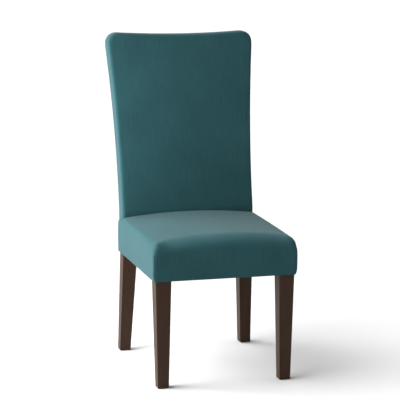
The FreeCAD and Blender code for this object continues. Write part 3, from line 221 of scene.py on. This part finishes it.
espresso = stained_wood("espresso_wood", ESPRESSO_DARK, ESPRESSO_LIGHT, coat=0.02, gloss=0.55)
espresso.node_tree.nodes["Principled BSDF"].inputs["Specular IOR Level"].default_value = 0.15
for name in ("front_leg_left", "front_leg_right", "rear_post_left", "rear_post_right"):
    finish_node(name, espresso)


# Upholstery fabric: a fine plain weave in deep teal, with the slightly uneven yarns that show as
# faint streaks. They run down the walls and the back, which reclines above its bend, and from front to
# rear over the seat. Loose fibres catch the light at the edges.

YARN_PITCH = 0.0011
BEND, SLOPE = 0.482, 107.5 / 574
TEAL_DARK = (0.0152, 0.059, 0.067)
TEAL_LIGHT = (0.0225, 0.080, 0.090)


def upholstery(name):
    material, tree, shader = new_material(name, roughness=0.85, specular_ior_level=0.12, sheen_weight=0.08,
                                          sheen_roughness=0.45)
    point = object_point(tree)
    split = add_node(tree, "ShaderNodeSeparateXYZ", inputs={0: point}).outputs
    facing = add_node(tree, "ShaderNodeNewGeometry").outputs["Normal"]
    upward = add_node(tree, "ShaderNodeSeparateXYZ", inputs={0: facing}).outputs["Z"]
    flat = math_node(tree, "GREATER_THAN", math_node(tree, "ABSOLUTE", upward), 0.7)
    above_bend = math_node(tree, "MAXIMUM", math_node(tree, "SUBTRACT", split["Z"], BEND))
    upright = math_node(tree, "SUBTRACT", split["Y"], math_node(tree, "MULTIPLY", above_bend, SLOPE))
    walls = add_node(tree, "ShaderNodeCombineXYZ",
                     inputs={"X": math_node(tree, "ADD", split["X"], upright), "Y": split["Z"]}).outputs[0]
    top = add_node(tree, "ShaderNodeCombineXYZ", inputs={"X": split["X"], "Y": split["Y"]}).outputs[0]
    along = add_node(tree, "ShaderNodeMix", data_type="VECTOR", inputs={0: flat, 4: walls, 5: top}).outputs[1]

    streaks = noise(tree, stretched(tree, along, (1, 0.04, 1)), 400, 4)
    clouds = noise(tree, point, 9, 2)
    clouds = math_node(tree, "MULTIPLY", clouds, 0.35)
    tone = math_node(tree, "ADD", math_node(tree, "MULTIPLY", streaks, 0.65), clouds)
    tree.links.new(ramp(tree, tone, (0.33, TEAL_DARK), (0.67, TEAL_LIGHT)), shader.inputs["Base Color"])

    thread = add_node(tree, "ShaderNodeSeparateXYZ",
                      inputs={0: stretched(tree, along, (math.pi / YARN_PITCH,) * 3)}).outputs
    warp, weft = math_node(tree, "SINE", thread["X"]), math_node(tree, "SINE", thread["Y"])
    slub = math_node(tree, "MULTIPLY", streaks, 0.8)
    bump(tree, shader, math_node(tree, "ADD", math_node(tree, "MULTIPLY", warp, weft), slub), 0.25, 0.0004)
    return material


teal = upholstery("teal_fabric")


# Seat upholstery: foam, polyester wadding and a tight fabric cover over the seat frame, boxed at the
# sides, rolled over the front rail and crowned on top. Its hem turns in under the rails.

seat_low, seat_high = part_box("seat_cover")
PAD_REAR = 0.1432
SEAM_FRONT, SEAM_SLOPE, SEAM_GAP = 0.4590, -0.175, 0.0004
ROLL_RUN, ROLL_CORNER, ROLL_DROP = 0.065, 0.016, 0.042
ROLL_FADE, ROLL_SPREAD = 0.06, 0.16
SIDE_TUCK, TUCK_START, TUCK_RISE = 0.0035, 0.415, 0.04
SHOULDER_FRONT, SHOULDER_REAR = 0.032, 0.006
SHOULDER_DROP = 0.9
CROWN = 0.014
SIDE_BOW = 0.0046
FRONT_BOW = 0.0016
SIDE_REACH = 0.03
CORNER = 0.010
HALF_LOW, HALF_FRONT, HALF_REAR = 0.2308, 0.2345, 0.2314


def spaced(low, high, step, edges=()):
    """Places from low to high about a step apart, with closer ones at the given distances from each end."""
    places = set()
    inner_low = low + max(edges, default=0)
    inner_high = high - max(edges, default=0)
    count = max(1, round((inner_high - inner_low) / step))
    for index in range(count + 1):
        places.add(round(inner_low + (inner_high - inner_low) * index / count, 6))
    for edge in (0,) + tuple(edges):
        places.add(round(low + edge, 6))
        places.add(round(high - edge, 6))
    return sorted(places)


def box_grid(xs, ys, zs, shape):
    """The surface of a box, divided at the given places, with each point moved by shape(x, y, z)."""
    numbers, points, faces = {}, [], []

    def corner(i, j, k):
        if (i, j, k) not in numbers:
            numbers[i, j, k] = len(points)
            points.append(shape(xs[i], ys[j], zs[k]))
        return numbers[i, j, k]

    last_x, last_y, last_z = len(xs) - 1, len(ys) - 1, len(zs) - 1
    for i in range(last_x):
        for j in range(last_y):
            faces.append([corner(i, j, 0), corner(i, j + 1, 0), corner(i + 1, j + 1, 0), corner(i + 1, j, 0)])
            faces.append([corner(i, j, last_z), corner(i + 1, j, last_z), corner(i + 1, j + 1, last_z),
                          corner(i, j + 1, last_z)])
    for i in range(last_x):
        for k in range(last_z):
            faces.append([corner(i, 0, k), corner(i + 1, 0, k), corner(i + 1, 0, k + 1), corner(i, 0, k + 1)])
            faces.append([corner(i, last_y, k), corner(i, last_y, k + 1), corner(i + 1, last_y, k + 1),
                          corner(i + 1, last_y, k)])
    for j in range(last_y):
        for k in range(last_z):
            faces.append([corner(0, j, k), corner(0, j, k + 1), corner(0, j + 1, k + 1), corner(0, j + 1, k)])
            faces.append([corner(last_x, j, k), corner(last_x, j + 1, k), corner(last_x, j + 1, k + 1),
                          corner(last_x, j, k + 1)])
    return points, faces


def rounded(u, v, reach_u, reach_v):
    """Moves a point near a square edge on to a rounded one. u and v are its distances from two faces."""
    if u >= reach_u or v >= reach_v:
        return u, v
    a, b = 1 - u / reach_u, 1 - v / reach_v
    shrink = max(a, b) / math.hypot(a, b)
    return reach_u * (1 - a * shrink), reach_v * (1 - b * shrink)


def apply_modifiers(piece):
    """Turns a piece's modifiers into its mesh."""
    graph = bpy.context.evaluated_depsgraph_get()
    mesh = bpy.data.meshes.new_from_object(piece.evaluated_get(graph))
    piece.modifiers.clear()
    piece.data = mesh


def refine(piece):
    """Smooths a piece by one subdivision of its grid."""
    modifier = piece.modifiers.new("finer", "SUBSURF")
    modifier.levels = modifier.render_levels = 1
    apply_modifiers(piece)


def cutter(xs, ys, zs, shape=lambda x, y, z: (x, y, z)):
    """A closed box, shaped at will, to cut out of a piece."""
    return new_piece("cutter", *box_grid(xs, ys, zs, shape), teal, smooth=False)


def cut_out(piece, tool):
    """Cuts a closed mesh out of a piece."""
    modifier = piece.modifiers.new("cut", "BOOLEAN")
    modifier.operation = "DIFFERENCE"
    modifier.solver = "MANIFOLD"
    modifier.object = tool
    apply_modifiers(piece)
    bpy.data.objects.remove(tool)


def cut_away(piece, *boxes):
    """Cuts boxes, each given by its lowest and highest corner, out of a closed piece."""
    for low, high in boxes:
        cut_out(piece, cutter(*zip(low, high)))


hem, seat_top = seat_low[2], seat_high[2]
shoulder_top = seat_top - CROWN
front = seat_low[1] + FRONT_BOW
rear = seat_high[1]
half = HALF_FRONT - SIDE_BOW / 3


def seat_point(x, y, z):
    """From the seat's box, whose top lies at the shoulders, to its padded form."""
    half_width = half + (HALF_REAR - HALF_FRONT) * (y - front) / (rear - front)
    x = x * half_width / half
    depth_x, depth_y = rounded(half_width - abs(x), y - front, CORNER, CORNER)
    backward = min(1, max(0, (y - front) / (PAD_REAR - front)))
    run = SHOULDER_FRONT + (SHOULDER_REAR - SHOULDER_FRONT) * backward
    wall = min(1, (z - hem) / (shoulder_top - run - hem))
    share = (z - hem) / (shoulder_top - hem)
    depth_x, depth_z = rounded(depth_x, shoulder_top - z, run, run * SHOULDER_DROP)
    inward = min(1, (half_width - depth_x) / (half_width - run))
    z = shoulder_top - depth_z + CROWN * (1 - inward ** 2) * share
    over_side = min(1, max(0, 1 - depth_x / run))
    fallen = run * SHOULDER_DROP * (1 - math.sqrt(1 - over_side ** 2))
    surface = shoulder_top + CROWN * (1 - inward ** 2) - fallen
    climb = min(1, max(0, 1 - (surface - z) / ROLL_DROP))
    roll = ROLL_RUN + (ROLL_CORNER - ROLL_RUN) * max(0, 1 - depth_x / ROLL_FADE)
    depth_y += roll * (1 - math.sqrt(1 - climb ** 2)) * max(0, 1 - depth_y / ROLL_SPREAD)
    bow = 4 * wall * (1 - wall)
    at_side, at_front = max(0, 1 - depth_x / SIDE_REACH), max(0, 1 - depth_y / SIDE_REACH)
    depth_x += at_side * max((half_width - HALF_LOW) * (1 - wall) - SIDE_BOW * bow, -SIDE_BOW / 3)
    tucked = min(1, max(0, (z - TUCK_START) / TUCK_RISE)) ** 2
    depth_x += at_side * SIDE_TUCK * backward ** 4 * tucked
    depth_y -= at_front * FRONT_BOW * bow
    return (math.copysign(half_width - depth_x, x), front + depth_y, z)


def over_seam(x, y, z):
    """A box over the seam where the back's cover meets the seat's sides, square to the reclined back."""
    return (x, y, z if z else SEAM_FRONT - SEAM_GAP + SEAM_SLOPE * (y - PAD_REAR))


STEP = 0.008
xs = spaced(-half, half, STEP, edges=(0.002, 0.005, 0.009, 0.015))
ys = spaced(front, rear, STEP, edges=(0.002, 0.005, 0.009, 0.015))
zs = spaced(hem, shoulder_top, STEP, edges=(0.0003, 0.001, 0.0025, 0.005, 0.009, 0.014, 0.020, 0.027))
seat = new_piece("seat_upholstery", *box_grid(xs, ys, zs, seat_point), teal)
refine(seat)

FAR = 1.0
FRAME_HALF, FRAME_FRONT, RAIL_UNDER, DECK_TOP = 0.2253, -0.3003, 0.3447, 0.4343
HEM_HALF, HEM_FRONT, HEM_REAR = 0.204, -0.2835, 0.1743
BELOW, ABOVE = 0.3, 0.36
NOTCH_INNER, NOTCH_LENGTH, POST_FRONT = 0.1735, 0.052, 0.1442
notches = []
for side in (-1, 1):
    inner, outer = sorted((side * NOTCH_INNER, side * FRAME_HALF))
    for low in (FRAME_FRONT, POST_FRONT):
        notches.append(((inner, low, BELOW), (outer, low + NOTCH_LENGTH, ABOVE)))
cut_away(
    seat,
    ((-FRAME_HALF, FRAME_FRONT, RAIL_UNDER), (FRAME_HALF, FAR, DECK_TOP)),
    ((-FRAME_HALF, PAD_REAR, RAIL_UNDER), (FRAME_HALF, FAR, FAR)),
    ((-HEM_HALF, HEM_FRONT, BELOW), (HEM_HALF, HEM_REAR, ABOVE)),
    *notches,
)
cut_out(seat, cutter([-FAR, FAR], [PAD_REAR, FAR], [0, FAR], over_seam))
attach(seat, "root")
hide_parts("seat_cover", "seat_wadding", "seat_foam")


# Corner seams: the seat's side panels are joined to its front panel by a plain stitched seam down
# each front corner, of the same fabric, which ends where the rolled top begins.

SEAM_RADIUS, SEAM_SINK = 0.0014, 0.1
SEAM_START, SEAM_END = 0.004, 0.437


def seam(name, line):
    """A thin stitched ridge along a line of points."""
    curve = bpy.data.curves.new(name, "CURVE")
    curve.dimensions = "3D"
    curve.bevel_depth = SEAM_RADIUS
    curve.bevel_resolution = 2
    curve.use_fill_caps = True
    spline = curve.splines.new("POLY")
    spline.points.add(len(line) - 1)
    for point, place in zip(spline.points, line):
        point.co = (*place, 1)
    curve.materials.append(teal)
    ridge = bpy.data.objects.new(name, curve)
    scene.collection.objects.link(ridge)
    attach(ridge, "root")
    return ridge


for name, side in (("left", -1), ("right", 1)):
    corner_line = [Vector(seat_point(side * half, front, z)) for z in zs if hem + SEAM_START < z < SEAM_END]
    inward = Vector((-side, 1, 0)).normalized() * SEAM_RADIUS * SEAM_SINK
    seam("seat_corner_seam_" + name, [place + inward for place in corner_line])


# Back upholstery: foam, wadding and cover over the webbed frame of the back, straight at the seat,
# flared and reclined above it, crowned in front, with rounded edges and a slightly dipped top.

back_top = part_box("back_cover")[1][2]
TUCK_LOW = 0.4358
BACK_FACE, BACK_REAR = 0.145, 0.1983
HALF_BACK, HALF_TOP = 0.2265, 0.249
FLARE_START, FLARE_END = 0.520, 1.020
BACK_CORNER = 0.033
BACK_EDGE, TOP_EDGE = 0.010, 0.012
BACK_CROWN, TOP_DIP, DIP_REACH = 0.009, 0.007, 0.15
FRONT_REACH, REAR_REACH = 0.03, 0.02
CROWN_OVER_HEIGHT = ((0.482, 0.25), (0.520, 0.25), (0.580, 0.6), (0.645, 1), (0.870, 1), (1.020, 0.7))


def lean(z):
    return SLOPE * max(0, z - BEND)


def half_back(z):
    flare = min(1, max(0, (z - FLARE_START) / (FLARE_END - FLARE_START)))
    return HALF_BACK + (HALF_TOP - HALF_BACK) * flare ** 2


def between(stops, place):
    """The value at a place, straight between the stops around it."""
    for (low, low_value), (high, high_value) in zip(stops, stops[1:]):
        if place <= high:
            share = max(0, (place - low) / (high - low))
            return low_value + (high_value - low_value) * share
    return stops[-1][1]


def on_outline(x, z):
    """A place of the back's front view, x in shares of its half width: its distances from the side, from
    the top and from the rounded outline, and the way inward from there."""
    depth_x, depth_z = rounded(half_back(z) * (1 - abs(x)), back_top - z, BACK_CORNER, BACK_CORNER)
    toward = Vector((max(0, BACK_CORNER - depth_x), max(0, BACK_CORNER - depth_z)))
    edge = BACK_CORNER - toward.length if toward.x and toward.y else min(depth_x, depth_z)
    inward = toward.normalized() if toward.length else Vector((1, 0) if depth_x < depth_z else (0, 1))
    return depth_x, depth_z, max(0, edge), inward


def dip(depth_x, depth_z, half_width):
    """How far the dipped top edge draws a place down."""
    along = min(1, (half_width - depth_x) / (half_width - BACK_CORNER))
    return TOP_DIP * (1 - along ** 2) * max(0, 1 - depth_z / DIP_REACH)


def back_point(x, y, z):
    """From the back's box, x in shares of its half width, to its padded form."""
    half_width = half_back(z)
    depth_x, depth_z, edge, inward = on_outline(x, z)
    radius = BACK_EDGE + (TOP_EDGE - BACK_EDGE) * inward.y
    moved, depth_y = rounded(edge, y - BACK_FACE, radius, radius)
    if z > FLARE_END:
        radius = TOP_EDGE * inward.y + 0.0001
        moved_rear, depth_rear = rounded(edge, BACK_REAR - y, radius, radius)
        moved = max(moved, moved_rear)
        if BACK_REAR - y < REAR_REACH:
            depth_y = BACK_REAR - BACK_FACE - depth_rear
    depth_x += inward.x * (moved - edge)
    depth_z += inward.y * (moved - edge)
    inside = min(1, max(0, half_width - depth_x) / (half_width - BACK_EDGE))
    at_front = max(0, 1 - depth_y / FRONT_REACH)
    depth_y -= at_front * BACK_CROWN * between(CROWN_OVER_HEIGHT, z) * (1 - inside ** 2)
    depth_z += dip(depth_x, depth_z, half_width)
    height = back_top - depth_z
    return (math.copysign(half_width - depth_x, x), BACK_FACE + depth_y + lean(height), height)


margins = (0.0018, 0.005, 0.009, 0.015, 0.024, 0.033)
BACK_STEP = 0.009
back_xs = spaced(-1, 1, 0.034, edges=tuple(edge / HALF_TOP for edge in margins))
ys = spaced(BACK_FACE, BACK_REAR, BACK_STEP, edges=(0.0018, 0.005, 0.009, 0.014))
zs = spaced(TUCK_LOW, back_top, BACK_STEP, edges=margins)
back = new_piece("back_upholstery", *box_grid(back_xs, ys, zs, back_point), teal)
refine(back)

NECK_FRONT, NECK_HEIGHT = 0.1447, 0.4404
ROOM_FRONT, ROOM_LOW, ROOM_TOP = 0.1630, 0.42, 1.0563
ROOM_SIDES = ((1.035, 0.0037), (1.040, 0.0041), (1.045, 0.0053), (1.050, 0.0073), (ROOM_TOP, 0.0115))


def room_point(x, y, z):
    """The room for the wooden frame and the webbing inside the back, open to the rear."""
    face = between(((NECK_HEIGHT, NECK_FRONT), (BEND, ROOM_FRONT)), z)
    return (x * (half_back(z) - between(ROOM_SIDES, z)), (face if y < FAR else FAR) + lean(z), z)


room_heights = [ROOM_LOW, NECK_HEIGHT, BEND, FLARE_START, 0.62, 0.72, 0.82, 0.92, FLARE_END]
room_heights += [z for z, _ in ROOM_SIDES]
cut_out(back, cutter([-1, 1], [0, FAR], room_heights, room_point))
TUCK_HALF = 0.173
TONGUE_LOW, TONGUE_HIGH = 0.3, 0.5


def under_seam(x, y, z):
    """A box under the same seam, beside the tongue that tucks down behind the seat."""
    return (x, y, z if z == TONGUE_LOW else SEAM_FRONT + SEAM_SLOPE * (y - PAD_REAR))


for sides in ([-FAR, -TUCK_HALF], [TUCK_HALF, FAR]):
    cut_out(back, cutter(sides, [-FAR, FAR], [TONGUE_LOW, TONGUE_HIGH], under_seam))
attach(back, "root")
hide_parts("back_cover", "back_wadding", "back_foam")


# Outside back: a flat panel of the same fabric over thin wadding, stretched over the rear of the
# posts, fastened blind along its edges and bent over the rounded top. Below, it covers the rear rail.

PANEL_FRONT, PANEL_REAR, PANEL_LOW = 0.1986, 0.2, 0.3446
PANEL_INSET, INSET_REACH = 0.003, 0.03
SKIRT_TOP = 0.4502
PANEL_SKIRT = ((PANEL_LOW, 0.2296), (0.3875, 0.2312), (0.4440, 0.2300), (SKIRT_TOP, 0.2268))


def panel_point(x, y, z):
    """The panel fills the back's outline and bends over its rounded top; below, it fills the seat's."""
    if z < SKIRT_TOP:
        return (x * between(PANEL_SKIRT, z), y, z)
    depth_x, depth_z, edge, inward = on_outline(x, z)
    drawn_in = PANEL_INSET * inward.y * max(0, 1 - edge / INSET_REACH)
    radius = TOP_EDGE * inward.y
    over = max(0, radius - edge - drawn_in)
    bend = radius - math.sqrt(radius ** 2 - over ** 2)
    depth_x += inward.x * drawn_in
    depth_z += inward.y * drawn_in
    depth_z += dip(depth_x, depth_z, half_back(z))
    z = back_top - depth_z
    return (math.copysign(half_back(z) - depth_x, x), y - bend + lean(z), z)


skirt_zs = spaced(PANEL_LOW, SKIRT_TOP, BACK_STEP)
zs = sorted(set(skirt_zs + spaced(SKIRT_TOP, back_top, BACK_STEP, edges=margins)))
panel = new_piece("outside_back_panel", *box_grid(back_xs, [PANEL_FRONT, PANEL_REAR], zs, panel_point), teal)
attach(panel, "root")
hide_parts("outside_back_cover", "outside_back_wadding")


# Dust cover: thin black cloth stapled taut under the seat frame, cut out round the legs and posts. It
# hangs a little in the middle.

cover_low, cover_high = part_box("dust_cover")
LEG_NOTCH = (0.1737, -0.2487)
POST_NOTCH = (0.1762, 0.1442)
SAG = 0.0025
CLOTH_THICKNESS = 0.0005
CLOTH_STEP = 0.012


def between_notches(low, high, step, cuts):
    """Evenly divided places from low to high that also fall on the given cuts."""
    stops = [low] + sorted(cuts) + [high]
    places = []
    for start, end in zip(stops, stops[1:]):
        count = max(1, round((end - start) / step))
        places += [start + (end - start) * index / count for index in range(count)]
    return places + [high]


def dust_cover_parts():
    sides = [x * side for x in (LEG_NOTCH[0], POST_NOTCH[0]) for side in (-1, 1)]
    xs = between_notches(cover_low[0], cover_high[0], CLOTH_STEP, sides)
    ys = between_notches(cover_low[1], cover_high[1], CLOTH_STEP, [LEG_NOTCH[1], POST_NOTCH[1]])
    middle_y = (cover_low[1] + cover_high[1]) / 2
    points, faces = [], []
    for y in ys:
        for x in xs:
            dish = (1 - (x / cover_high[0]) ** 2) * (1 - ((y - middle_y) / (cover_high[1] - middle_y)) ** 2)
            points.append((x, y, cover_high[2] - SAG * max(0, dish)))
    row = len(xs)
    for j in range(len(ys) - 1):
        for i in range(row - 1):
            x, y = abs(xs[i] + xs[i + 1]) / 2, (ys[j] + ys[j + 1]) / 2
            if (x > LEG_NOTCH[0] and y < LEG_NOTCH[1]) or (x > POST_NOTCH[0] and y > POST_NOTCH[1]):
                continue
            first = j * row + i
            faces.append((first, first + row, first + row + 1, first + 1))
    return points, faces


black_cloth, tree, shader = new_material("black_cloth", roughness=0.95, specular_ior_level=0.1)
fibres = noise(tree, object_point(tree), 1800, 2)
tree.links.new(ramp(tree, fibres, (0.35, (0.006, 0.006, 0.007)), (0.65, (0.020, 0.020, 0.021))),
               shader.inputs["Base Color"])
bump(tree, shader, fibres, 0.3, 0.0004)
dust_cover = new_piece("dust_cover_cloth", *dust_cover_parts(), black_cloth)
solid = dust_cover.modifiers.new("thickness", "SOLIDIFY")
solid.thickness = CLOTH_THICKNESS
solid.offset = 0
apply_modifiers(dust_cover)
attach(dust_cover, "root")
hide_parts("dust_cover")
notched = 2 * (cover_high[0] - LEG_NOTCH[0]) * (LEG_NOTCH[1] - cover_low[1])
notched += 2 * (cover_high[0] - POST_NOTCH[0]) * (cover_high[1] - POST_NOTCH[1])


# Seat frame and back rails: planed hardwood, left raw because it is hidden. The rails are dowelled and
# glued to the legs and posts, and a block is screwed and bolted into each corner of the seat frame.

raw_wood = stained_wood("raw_hardwood", (0.42, 0.27, 0.15), (0.58, 0.41, 0.25), coat=0.0, gloss=0.7)
for name in nodes:
    if name.endswith(("_rail", "_rail_left", "_rail_right", "_dowels")) or name.startswith("corner_block_"):
        if name != "corner_block_screws":
            finish_node(name, raw_wood)


# Steel: the blocks' screws, the legs' hanger bolts with washers and nuts, the tack strips, the
# staples and the glides under the feet. Zinc-bright, with fine scratches.


def worn_steel(name, dark, light, gloss):
    material, tree, shader = new_material(name, roughness=gloss, metallic=1.0)
    point = object_point(tree)
    patches = noise(tree, point, 160, 4)
    tree.links.new(ramp(tree, patches, (0.35, dark), (0.65, light)), shader.inputs["Base Color"])
    scratches = noise(tree, stretched(tree, point, (1, 0.08, 1)), 2500, 2)
    bump(tree, shader, scratches, 0.15, 0.0002)
    return material


zinc = worn_steel("zinc_steel", (0.42, 0.42, 0.43), (0.62, 0.62, 0.63), gloss=0.35)
STEEL = ["corner_block_screws", "leg_hanger_bolts", "leg_bolt_washers", "leg_bolt_nuts", "dust_cover_staples",
         "outside_back_top_strip", "outside_back_side_strip_left", "outside_back_side_strip_right"]
STEEL += ["glide_%s_%s" % (end, side) for end in ("front", "rear") for side in ("left", "right")]
for name in STEEL:
    finish_node(name, zinc)


# Webbing and deck cloths: black woven straps, each over and under the next, fixed to the rails and
# posts to carry the foam, and a coarse jute cloth on them that keeps the foam off the straps.


def woven(name, dark, light, pitch, height):
    """A plain weave whose threads follow the chair's own axes."""
    material, tree, shader = new_material(name, roughness=0.9, specular_ior_level=0.2)
    point = object_point(tree)
    threads = stretched(tree, point, (math.pi / pitch,) * 3)
    split = add_node(tree, "ShaderNodeSeparateXYZ", inputs={0: threads}).outputs
    across = math_node(tree, "SINE", split["X"])
    along = math_node(tree, "SINE", math_node(tree, "ADD", split["Y"], split["Z"]))
    weave = math_node(tree, "MULTIPLY", across, along)
    fuzz = noise(tree, point, 900, 3)
    tone = math_node(tree, "ADD", math_node(tree, "MULTIPLY", weave, 0.2), fuzz)
    tree.links.new(ramp(tree, tone, (0.3, dark), (0.7, light)), shader.inputs["Base Color"])
    bump(tree, shader, weave, 0.5, height)
    return material


strap = woven("webbing_strap", (0.010, 0.010, 0.011), (0.045, 0.042, 0.038), 0.0024, 0.0006)
for name in ("seat_webbing_lengthwise", "seat_webbing_crosswise", "back_webbing_upright",
             "back_webbing_crosswise"):
    finish_node(name, strap)
jute = woven("jute_cloth", (0.22, 0.14, 0.07), (0.42, 0.30, 0.17), 0.0018, 0.0005)
for name in ("seat_deck_cloth", "back_deck_cloth"):
    finish_node(name, jute)
